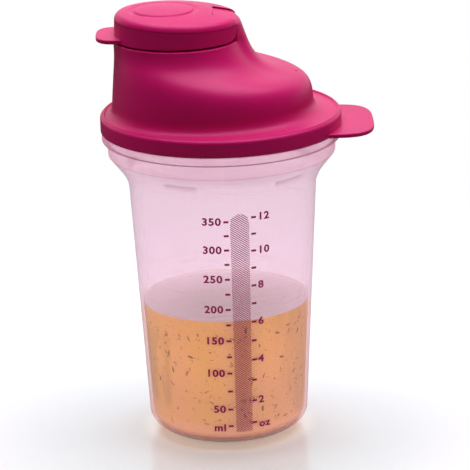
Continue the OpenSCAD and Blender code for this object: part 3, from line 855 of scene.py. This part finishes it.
def cap_shell():
    """The cap's shell: thumb disc and moat, crown, side, and the inside."""
    angles = np.linspace(0, 2 * math.pi, AROUND, endpoint=False)
    disc_x = POUR_X - CAP_X
    top = lambda x, y, sink=0.0: CAP_H - CROWN_R + np.sqrt((CROWN_R - sink) ** 2 - x * x - y * y)
    dips = [(2, 0), (6, 0), (9.5, 0), (11.2, 0), (THUMB_R - 0.25, 0.02), (THUMB_R, 0.1),
            (THUMB_R + 0.2, 0.35), (THUMB_R + 0.4, MOAT_D - 0.06), (THUMB_R + 0.7, MOAT_D),
            (THUMB_R + 1.2, MOAT_D * 0.9), (THUMB_R + 1.9, MOAT_D * 0.55), (THUMB_R + 2.6, MOAT_D * 0.2),
            (THUMB_R + MOAT_W, 0.02), (THUMB_R + MOAT_W + 0.6, 0)]
    rows = []
    for r, dip in dips:
        row = ring(r, 0, angles, disc_x)
        row[:, 2] = top(row[:, 0], row[:, 1]) - dip
        rows.append(row)
    centre_r, centre_z, round_r, start = cap_skirt_outline(0)
    inner_edge = rows[-1]
    outer_edge = ring(centre_r + round_r * math.cos(math.radians(start)), 0, angles)
    for t in (0.25, 0.5, 0.75):
        row = inner_edge + (outer_edge - inner_edge) * t
        row[:, 2] = top(row[:, 0], row[:, 1])
        rows.append(row)
    side = arc(centre_r, centre_z, round_r, start, 0, 12)
    low = -1.5
    side += [(CAP_R, 7), (CAP_R, 4), (CAP_R, 2), (CAP_R, low)]
    rows += [ring(r, z, angles) for r, z in side]
    centre_r, centre_z, round_r, start = cap_skirt_outline(CAP_WALL)
    inside = [(CAP_R - CAP_WALL, low), (CAP_R - CAP_WALL, 3), *arc(centre_r, centre_z, round_r, 0, start, 6)]
    rows += [ring(r, z, angles) for r, z in inside]
    for r in (18, 12, 6, 1):
        row = ring(r, 0, angles)
        row[:, 2] = top(row[:, 0], row[:, 1], CAP_WALL)
        rows.append(row)
    rows.reverse()
    points, faces = skin(rows)
    return cap_point(points), faces


def cap_core(inset):
    """The cap's outer form as a solid, for trimming what must stay inside it."""
    angles = np.linspace(0, 2 * math.pi, AROUND, endpoint=False)
    centre_r, centre_z, round_r, start = cap_skirt_outline(inset)
    outline = [(CAP_R - inset, -4), *arc(centre_r, centre_z, round_r, 0, start, 6)]
    rows = [ring(r, z, angles) for r, z in outline]
    for r in (18, 12, 6, 1):
        row = ring(r, 0, angles)
        row[:, 2] = CAP_H - CROWN_R + np.sqrt((CROWN_R - inset) ** 2 - r * r)
        rows.append(row)
    points, faces = skin(rows)
    return cap_point(points), faces


def make_lid(material):
    """The lid's shell with its tab, the room and bores in its hinge block, and its vent."""
    obj = solid("lid_shell", skin(lid_rows(), closed=True))
    half_l = PULL_REACH - EDGE_R + 4
    tab = solid("pull_tab", tab_shape(PULL_REACH - half_l, half_l, PULL_HALF_W, LID_Z, PULL_T, 3.4))
    trim = solid("trim", turned([(0, LID_Z - 1), (SKIRT_R - 0.6, LID_Z - 1), (SKIRT_R - 0.6, LID_Z + 4),
                                 (0, LID_Z + 4)]))
    cut_and_join(tab, [("DIFFERENCE", trim)])
    room_w = BLOCK_HALF_W - BLOCK_WALL
    back_x = CAP_X + CAP_R - BLOCK_WALL
    room = solid("room", box_shape((back_x - 24, -room_w, DECK_Z + 0.02), (back_x, room_w, CAP_Z + CAP_H - 5.2)))
    bore = solid("bore", rod_shape(HINGE_X, HINGE_Z, BORE_R, -16, 16, 48))
    vent = solid("vent", turned([(0, DOME_Z), (VENT_R, DOME_Z), (VENT_R, DOME_Z + 20), (0, DOME_Z + 20)],
                                VENT_X, 32))
    cut_and_join(obj, [("UNION", tab), ("DIFFERENCE", room), ("DIFFERENCE", bore), ("DIFFERENCE", vent)])
    return finish_piece(obj, "lid", material, ["lid"])


def make_cap(material):
    """The cap's shell, then its cheeks, tab, notch, plug and trunnions."""
    obj = solid("flip_cap", cap_shell())
    apron = solid("apron", rod_shape(HINGE_X, HINGE_Z, NOTCH_R + CHEEK_T, -CHEEK_IN - CHEEK_T,
                                     CHEEK_IN + CHEEK_T, 192))
    low = box_shape((HINGE_X - CAP_R, -CAP_R, CAP_Z - CAP_R), (HINGE_X + CAP_R, CAP_R, CAP_Z + 1.5))
    cut_and_join(apron, [("DIFFERENCE", solid("low", low))])
    front_x = HINGE_X - NOTCH_R - CHEEK_T
    for side in (-1, 1):
        inner, outer = sorted((side * CHEEK_IN, side * (CHEEK_IN + CHEEK_T)))
        cheek = solid("cheek", box_shape((front_x, inner, CAP_Z - 2), (front_x + CAP_R, outer, CAP_Z + CAP_H)))
        cut_and_join(apron, [("UNION", cheek)])
    cut_and_join(apron, [("INTERSECT", solid("core", cap_core(CAP_WALL / 2)))])
    half_l = 9.5
    tab = solid("lift_tab", tab_shape(LIFT_TIP + half_l, half_l, LIFT_HALF_W, CAP_Z, LIFT_T, 3))
    cut_and_join(tab, [("DIFFERENCE", solid("core", cap_core(CAP_WALL / 2)))])
    below = solid("below", box_shape((-90, -60, CAP_Z - 20), (40, 60, CAP_Z)))
    notch = solid("notch", rod_shape(HINGE_X, HINGE_Z, NOTCH_R, -CHEEK_IN, CHEEK_IN, 192))
    corner = solid("corner", box_shape((HINGE_X, -CAP_R, CAP_Z - 1), (HINGE_X + CAP_R, CAP_R, HINGE_Z)))
    keep = solid("keep", rod_shape(HINGE_X, HINGE_Z, CHEEK_R, -2 * CAP_R, 2 * CAP_R, 96))
    cut_and_join(corner, [("DIFFERENCE", keep)])
    stop_z = HINGE_Z - DECK_Z - CLEARANCE
    stop = solid("stop", box_shape((-CAP_R, -CAP_R, -CAP_R - stop_z), (CAP_R, CAP_R, -stop_z)))
    stop.data.transform(Matrix.Translation((HINGE_X * MM, 0, HINGE_Z * MM)) @ Matrix.Rotation(-CAP_OPEN, 4, "Y"))
    cut_and_join(obj, [("UNION", apron), ("DIFFERENCE", below), ("UNION", tab), ("DIFFERENCE", notch),
                       ("DIFFERENCE", corner), ("DIFFERENCE", stop)])
    plug = [(PLUG_R - PLUG_T, PLUG_Z), (PLUG_R - 0.5, PLUG_Z), (PLUG_R, PLUG_Z + 1),
            (PLUG_R, CAP_Z + CAP_H - 1.4), (PLUG_R - PLUG_T, CAP_Z + CAP_H - 1.4)]
    parts = [("UNION", solid("plug", turned(plug, POUR_X)))]
    for side in (-1, 1):
        inner, outer = sorted((side * (CHEEK_IN - 2.5), side * (CHEEK_IN + CHEEK_T / 2)))
        parts.append(("UNION", solid("trunnion", rod_shape(HINGE_X, HINGE_Z, TRUNNION_R, inner, outer, 48))))
    cut_and_join(obj, parts)
    return finish_piece(obj, "cap", material, ["spout_cap"])


def dressing_outline():
    """The dressing in section: it fills the bottle up to the fill height, with a small meniscus."""
    gap = 0.08
    top = bpy.context.scene.shaker_sizes.fill_height / MM
    corner_w, corner_h = FOOT_CORNER
    corner_r = wall_r(corner_h) - corner_w
    dome = (FOOT_RING_R ** 2 + PUSH_UP ** 2) / (2 * PUSH_UP)
    floor_angle = math.degrees(math.asin((FOOT_RING_R - WALL) / (dome + WALL)))
    in_w = corner_w - WALL - gap
    side = lambda z: wall_r(z) - WALL - gap
    outline = [
        *arc(0, PUSH_UP - dome, dome + WALL + gap, 90, 90 - floor_angle, 12),
        *arc(corner_r, corner_h, in_w, -90, -3, 20, (corner_h - WALL - gap) / in_w),
        *curve([(side(z), z) for z in (14, 26, 40, top)], 20),
        *curve([(side(top + 0.7), top + 0.7), (side(top) - 0.4, top + 0.25),
                (side(top) - 0.9, top), (side(top) - 2, top)], 6),
        (side(top) - 10, top), (8, top), (0, top)]
    outline[0] = (0, outline[0][1])
    return outline


def herb_shapes(count):
    """Flecks of herb pressed against the inside of the wall: bent slivers and small leaves."""
    rng = random.Random(23)
    top = bpy.context.scene.shaker_sizes.fill_height / MM
    points, faces = [], []
    for _ in range(count):
        turn = rng.uniform(0, 2 * math.pi)
        z = rng.uniform(9, top - 0.6)
        long = rng.choice([0.25, 0.3, 0.4, 0.5, 0.6, 0.8, 1.4])
        wide = min(long * rng.uniform(0.35, 1.1), 0.95)
        lean = rng.uniform(0, math.pi)
        bend = rng.uniform(-0.5, 0.5)
        start = len(points)
        spine = np.linspace(-1, 1, 6)
        for side, layer in ((1, 0.0), (-1, 0.0), (1, 0.06), (-1, 0.06)):
            for t in spine:
                half = wide * (1 - t * t) ** 0.5 * rng.uniform(0.75, 1.1) / 2 + 0.02
                u = long * t / 2 * 2
                v = side * half + bend * long * t * t * 0.5
                across = u * math.cos(lean) - v * math.sin(lean)
                high = z + u * math.sin(lean) + v * math.cos(lean)
                high = min(max(high, 7), top - 0.2)
                r = wall_r(high) - WALL - 0.07 + layer * 0.8
                if high < FOOT_CORNER[1]:
                    r -= 0.9 * (FOOT_CORNER[1] - high) ** 2 / FOOT_CORNER[1]
                a = turn + across / r
                points.append((r * math.cos(a), r * math.sin(a), high))
        n = len(spine)
        low_a, low_b, top_a, top_b = (start + i * n for i in range(4))
        for i in range(n - 1):
            faces += [(low_a + i, low_a + i + 1, low_b + i + 1, low_b + i),
                      (top_a + i + 1, top_a + i, top_b + i, top_b + i + 1),
                      (low_a + i + 1, low_a + i, top_a + i, top_a + i + 1),
                      (low_b + i, low_b + i + 1, top_b + i + 1, top_b + i)]
        faces += [(low_a, low_b, top_b, top_a), (low_b + n - 1, low_a + n - 1, top_a + n - 1, top_b + n - 1)]
    return points, faces


PRINT_Z = 55
PRINT_R = wall_r(PRINT_Z)
INK_LIFT = 0.02
INK_T = 0.05


def on_wall(points, facing):
    """Flat points (across, height, layer), in millimetres, wrapped round the wall at an azimuth."""
    wrapped = []
    for across, z, layer in points:
        r = wall_r(z) + INK_LIFT + layer
        a = math.radians(facing - 90) + across / wall_r(z)
        wrapped.append((r * math.cos(a), r * math.sin(a), z))
    return wrapped


def print_patch(outline, facing):
    """A thin raised patch of ink with a convex outline of (across, height) points."""
    n = len(outline)
    flat = [(x, z, layer) for layer in (0, INK_T) for x, z in outline]
    faces = [tuple(reversed(range(n))), tuple(range(n, 2 * n))]
    faces += [(i, (i + 1) % n, n + (i + 1) % n, n + i) for i in range(n)]
    return on_wall(flat, facing), faces


def tick_shape(z, facing, width=2.0, thick=0.88):
    return print_patch([(-width / 2, z - thick / 2), (width / 2, z - thick / 2),
                        (width / 2, z + thick / 2), (-width / 2, z + thick / 2)], facing)


def figure_object(text, across, z, height, facing, align):
    """A printed number, from the plain built-in font, wrapped round the wall."""
    font = bpy.data.curves.new("figure", "FONT")
    font.body = text
    font.align_x = align
    font.align_y = "CENTER"
    font.size = height / 0.72
    font.offset = 0.032 * font.size
    font.space_character = 1.12
    font.extrude = INK_T / 2
    font.resolution_u = 4
    made = bpy.data.objects.new("figure", font)
    bpy.context.scene.collection.objects.link(made)
    mesh = bpy.data.meshes.new_from_object(made.evaluated_get(bpy.context.evaluated_depsgraph_get()))
    flat = [(1.1 * v.co.x + across, v.co.y + z, v.co.z + INK_T / 2) for v in mesh.vertices]
    faces = [tuple(p.vertices) for p in mesh.polygons]
    bpy.data.objects.remove(made)
    return on_wall(flat, facing), faces


def merged(shapes):
    """Several shapes as one."""
    points, faces = [], []
    for some, quads in shapes:
        shift = len(points)
        points += [tuple(p) for p in some]
        faces += [tuple(i + shift for i in q) for q in quads]
    return points, faces


class SHAKER_OT_stage(bpy.types.Operator):
    """Floor, lamps, world and the camera at the photograph's angle"""

    bl_idname = "shaker.stage"
    bl_label = "Stage"

    def execute(self, context):
        make_camera(context.scene)
        make_floor()
        make_lamps()
        make_world(context.scene)
        context.scene.view_settings.view_transform = "Standard"
        context.scene.cycles.transparent_max_bounces = 32
        return {"FINISHED"}


CAMERA_PLACE = (0, -1.1032, 0.4236)
CAMERA_PITCH = 17.192
CAMERA_YAW = 0.232
CAMERA_ROLL = -1.568
CAMERA_LENS = 2800 / 470 * 36


def make_camera(scene):
    data = bpy.data.cameras.new("camera")
    data.sensor_fit = "HORIZONTAL"
    data.sensor_width = 36
    data.lens = CAMERA_LENS
    data.clip_end = 20
    pitch, yaw, roll = (math.radians(a) for a in (CAMERA_PITCH, CAMERA_YAW, CAMERA_ROLL))
    ahead = Vector((math.sin(yaw) * math.cos(pitch), math.cos(yaw) * math.cos(pitch), -math.sin(pitch)))
    level = Vector((math.cos(yaw), -math.sin(yaw), 0))
    upward = level.cross(ahead)
    right = math.cos(roll) * level + math.sin(roll) * upward
    top = -math.sin(roll) * level + math.cos(roll) * upward
    camera = bpy.data.objects.new("camera", data)
    turn = Matrix((right, top, -ahead)).transposed().to_4x4()
    camera.matrix_world = Matrix.Translation(CAMERA_PLACE) @ turn
    scene.collection.objects.link(camera)
    scene.camera = camera


def make_floor():
    """A pale floor that keeps the shadow and a faint reflection, with a painted warm glow round the bottle's foot,
    and is white to the camera elsewhere.
    """
    half = 3.0
    mesh = bpy.data.meshes.new("floor")
    mesh.from_pydata([(-half, -half, -0.0003), (half, -half, -0.0003), (half, half, -0.0003),
                      (-half, half, -0.0003)], [], [(0, 1, 2, 3)])
    floor = bpy.data.objects.new("floor", mesh)
    bpy.context.scene.collection.objects.link(floor)
    s = shader_for("pale_floor")
    seen = s.node("ShaderNodeLightPath", output="Is Camera Ray")
    gloss = s.node("ShaderNodeLightPath", output="Is Glossy Ray")
    x, y = (s.node("ShaderNodeSeparateXYZ", inputs={0: s.place()}, output=i) for i in range(2))
    away = (x * x + y * y) ** 0.5
    bounce = s.mix(s.between(away, 0.05, 0.12), (0.9, 0.9, 0.9), (0.3, 0.3, 0.3))
    matte = s.principled(Base_Color=s.mix(gloss, bounce, (0.02, 0.02, 0.02)), Roughness=0.5,
                         Specular_IOR_Level=0.1)
    # Painted light: a warm emitted pool near the bottle's foot stands in for light passing through the dressing;
    # farther off, a faint even lift.
    lift_and_painted_glow = s.mix(s.between(away, 0.025, 0.039), (0.36, 0.32, 0.29), (0.05, 0.045, 0.045))
    tone = s.mix(s.between(away, 0.06, 0.13), (0.79, 0.85, 0.79), (0.86, 0.85, 0.77))
    pale = s.principled(Base_Color=tone, Roughness=0.08, Specular_IOR_Level=0.6,
                        Emission_Color=lift_and_painted_glow, Emission_Strength=1.0)
    white = s.node("ShaderNodeEmission", inputs={"Color": (1, 1, 1), "Strength": 1})
    near = s.node("ShaderNodeMixShader", inputs={0: s.between(away, 0.16, 0.4), 1: pale, 2: white})
    s.output(s.node("ShaderNodeMixShader", inputs={0: seen, 1: matte, 2: near}))
    mesh.materials.append(s.owner)


def area_lamp(name, place, target, size, power):
    data = bpy.data.lights.new(name, "AREA")
    data.shape = "RECTANGLE"
    data.size, data.size_y = size
    data.energy = power
    lamp = bpy.data.objects.new(name, data)
    lamp.location = place
    lamp.rotation_euler = (Vector(target) - Vector(place)).to_track_quat("-Z", "Y").to_euler()
    bpy.context.scene.collection.objects.link(lamp)
    return lamp


def make_lamps():
    aim = (0, 0, 0.11)
    top = area_lamp("top_lamp", (0.04, 0.15, 1.0), aim, (1.1, 0.9), 13.4)
    top.data.color = (1.0, 1.0, 1.22)
    sides = [area_lamp("left_lamp", (-1.0, 0.0, 0.4), aim, (0.4, 0.8), 1.2),
             area_lamp("right_lamp", (1.0, -0.2, 0.45), aim, (0.4, 0.9), 1.4)]
    flagged = bpy.data.collections.new("flagged_from_the_lid")
    low = [area_lamp("low_left_lamp", (-1.1, -0.65, 0.3), (0, 0, 0.06), (0.8, 0.5), 8.3),
           area_lamp("low_right_lamp", (1.1, -0.65, 0.3), (0, 0, 0.06), (0.8, 0.5), 7.7),
           area_lamp("low_lamp", (0.0, -1.3, 0.3), (0, 0, 0.06), (1.2, 0.5), 5.2)]
    for lamp in low:
        lamp.light_linking.receiver_collection = flagged
    for lamp in sides + low:
        lamp.visible_glossy = False


def make_world(scene):
    """White to the camera and in gloss, and a dim fill for the rest."""
    world = bpy.data.worlds.new("studio")
    scene.world = world
    s = Shader(world)
    path = [s.node("ShaderNodeLightPath", output=kind)
            for kind in ("Is Camera Ray", "Is Glossy Ray", "Is Transmission Ray")]
    seen = s.node("ShaderNodeMath", {"operation": "MAXIMUM"}, {0: path[0], 1: path[2]})
    fill = 0.2
    way_back = s.node("ShaderNodeSeparateXYZ", inputs={0: s.node("ShaderNodeTexCoord", output="Generated")}, output=1)
    glossy = s.between(way_back, -0.1, 0.8, 0.0, 1.1)
    strength = s.node("ShaderNodeMix", {"data_type": "FLOAT"}, {0: path[1], 2: s.between(seen, 0, 1, fill, 1), 3: glossy})
    shown = s.larger(seen, path[1])
    s.output(s.node("ShaderNodeBackground", inputs={
        "Color": s.mix(shown, (1, 0.88, 0.74), (1, 1, 1)), "Strength": strength}))


class SHAKER_OT_bottle(bpy.types.Operator):
    """The translucent bottle with its collar, rim and lugs"""

    bl_idname = "shaker.bottle"
    bl_label = "Bottle"

    def execute(self, context):
        obj = solid("bottle_wall", turned(bottle_outline()))
        lugs = []
        for i in range(LUGS):
            facing = LUG_FACING - 90 + (i + 0.5) * 360 / LUGS
            lugs.append(("UNION", solid("lug", lug_shape(facing))))
        cut_and_join(obj, lugs)
        finish_piece(obj, "bottle", clear_plastic(), ["bottle"], 40)
        return {"FINISHED"}


class SHAKER_OT_mixing_wheel(bpy.types.Operator):
    """Finish of the mixing wheel that rests on the lugs"""

    bl_idname = "shaker.mixing_wheel"
    bl_label = "Mixing wheel"

    def execute(self, context):
        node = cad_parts["mixing_wheel"]
        node.data.materials.clear()
        node.data.materials.append(wheel_plastic())
        return {"FINISHED"}


class SHAKER_OT_lid(bpy.types.Operator):
    """The lid and the flip cap"""

    bl_idname = "shaker.lid"
    bl_label = "Lid and cap"

    def execute(self, context):
        material = lid_plastic()
        make_lid(material)
        make_cap(material)
        return {"FINISHED"}


class SHAKER_OT_dressing(bpy.types.Operator):
    """Dressing with herbs, and the film that clings to the wall"""

    bl_idname = "shaker.dressing"
    bl_label = "Dressing"

    def execute(self, context):
        sizes = context.scene.shaker_sizes
        body = solid("dressing", turned(dressing_outline(), columns=144))
        finish_piece(body, "bottle", dressing_material())
        herbs = solid("herbs", herb_shapes(sizes.herbs))
        finish_piece(herbs, "bottle", herb_material())
        top = sizes.fill_height / MM
        heights = np.linspace(top + 0.8, top + 27, 10)
        outline = [(wall_r(z) - WALL - 0.05, z) for z in heights]
        outline += [(wall_r(z) - WALL - 0.12, z) for z in heights[::-1]]
        film = solid("wall_film", turned(outline, columns=144))
        finish_piece(film, "bottle", film_material())
        return {"FINISHED"}


class SHAKER_OT_printed_scale(bpy.types.Operator):
    """The millilitre and fluid ounce scales and the hatched strip between them"""

    bl_idname = "shaker.printed_scale"
    bl_label = "Printed scales"

    def execute(self, context):
        shapes = scale_marks() + hatch_strip()
        obj = solid("printed_scale", merged(shapes))
        finish_piece(obj, "bottle", ink_material())
        return {"FINISHED"}


# Heights of the marks on the wall: 25 ml to 350 ml, and 1 oz to 12 oz
ML_HEIGHTS = [10.8, 18.2, 26.2, 34.1, 41.3, 48.3, 55.2, 61.9, 68.5, 74.9, 81.3, 87.4, 93.5, 99.4]
OZ_HEIGHTS = [11.7, 21.4, 30.5, 39.4, 47.8, 55.9, 63.9, 71.6, 79.2, 86.5, 93.7, 100.7]


def scale_marks():
    """Ticks and numbers of both scales."""
    shapes = []
    for i, z in enumerate(ML_HEIGHTS):
        shapes.append(tick_shape(z, ML_FACING))
        if i % 2:
            shapes.append(figure_object(str(25 * (i + 1)), -2.0, z, 3.1, ML_FACING, "RIGHT"))
    for i, z in enumerate(OZ_HEIGHTS):
        shapes.append(tick_shape(z, OZ_FACING))
        if i % 2:
            shapes.append(figure_object(str(i + 1), 1.8, z, 3.1, OZ_FACING, "LEFT"))
    shapes.append(figure_object("ml", -2.0, ML_HEIGHTS[0] - 0.8, 3.1, ML_FACING, "RIGHT"))
    shapes.append(figure_object("oz", 2.0, OZ_HEIGHTS[0] - 1.0, 3.1, OZ_FACING, "LEFT"))
    return shapes


def hatch_strip():
    """Slanting lines from the bottom of the scales to a rounded top."""
    half, pitch, thick, slant = 3.65, 0.94, 0.38, 0.75
    low, high = 7.9, 102.6
    shapes = []
    z = low - slant * half
    while z < high + slant * half:
        xs = np.linspace(-half, half, 33)
        line = []
        for x in xs:
            y = z - slant * x
            limit = high - half + math.sqrt(max(half * half - x * x, 0))
            if low <= y <= limit:
                line.append((x, y))
        if len(line) > 1:
            lower = [(x, y - thick / 2) for x, y in line]
            upper = [(x, y + thick / 2) for x, y in reversed(line)]
            shapes.append(print_strip(lower, upper))
        z += pitch
    return shapes


def print_strip(lower, upper):
    """A thin strip of ink between two rows of (across, height) points, the second reversed."""
    n = len(lower)
    flat = [(x, z, layer) for layer in (0, INK_T) for x, z in lower + upper]
    faces = []
    for i in range(n - 1):
        j = 2 * n - 1 - i
        faces.append((j, j - 1, i + 1, i))
        faces.append(tuple(2 * n + k for k in (i, i + 1, j - 1, j)))
    faces += [(i, (i + 1) % (2 * n), 2 * n + (i + 1) % (2 * n), 2 * n + i) for i in range(2 * n)]
    middle = (lower[0][1] + lower[-1][1]) / 2
    flat = [(x * wall_r(z) / PRINT_R, z, layer) for x, z, layer in flat]
    return on_wall(flat, SCALE_FACING + STRIP_LEAN * (middle - PRINT_Z)), faces


class SHAKER_PT_panel(bpy.types.Panel):
    """Lists the steps that dress the shaker"""

    bl_idname = "SHAKER_PT_panel"
    bl_label = "Dressing Shaker"
    bl_space_type = "VIEW_3D"
    bl_region_type = "UI"
    bl_category = "Shaker"

    def draw(self, context):
        layout = self.layout
        for group in (context.scene.shaker_sizes, context.scene.shaker_colours):
            for name in group.bl_rna.properties.keys():
                if name not in ("rna_type", "name"):
                    layout.prop(group, name)
        for operator in OPERATORS:
            layout.operator(operator.bl_idname)


OPERATORS = (SHAKER_OT_stage, SHAKER_OT_bottle, SHAKER_OT_mixing_wheel, SHAKER_OT_lid,
             SHAKER_OT_dressing, SHAKER_OT_printed_scale)
CLASSES = (ShakerSizes, ShakerColours, *OPERATORS, SHAKER_PT_panel)


def register():
    for cls in CLASSES:
        bpy.utils.register_class(cls)
    bpy.types.Scene.shaker_sizes = PointerProperty(type=ShakerSizes)
    bpy.types.Scene.shaker_colours = PointerProperty(type=ShakerColours)


def unregister():
    del bpy.types.Scene.shaker_colours
    del bpy.types.Scene.shaker_sizes
    for cls in reversed(CLASSES):
        bpy.utils.unregister_class(cls)


def main():
    register()
    bpy.ops.shaker.stage()
    bpy.ops.shaker.bottle()
    bpy.ops.shaker.mixing_wheel()
    bpy.ops.shaker.lid()
    bpy.ops.shaker.dressing()
    bpy.ops.shaker.printed_scale()


if __name__ == "__main__":
    main()
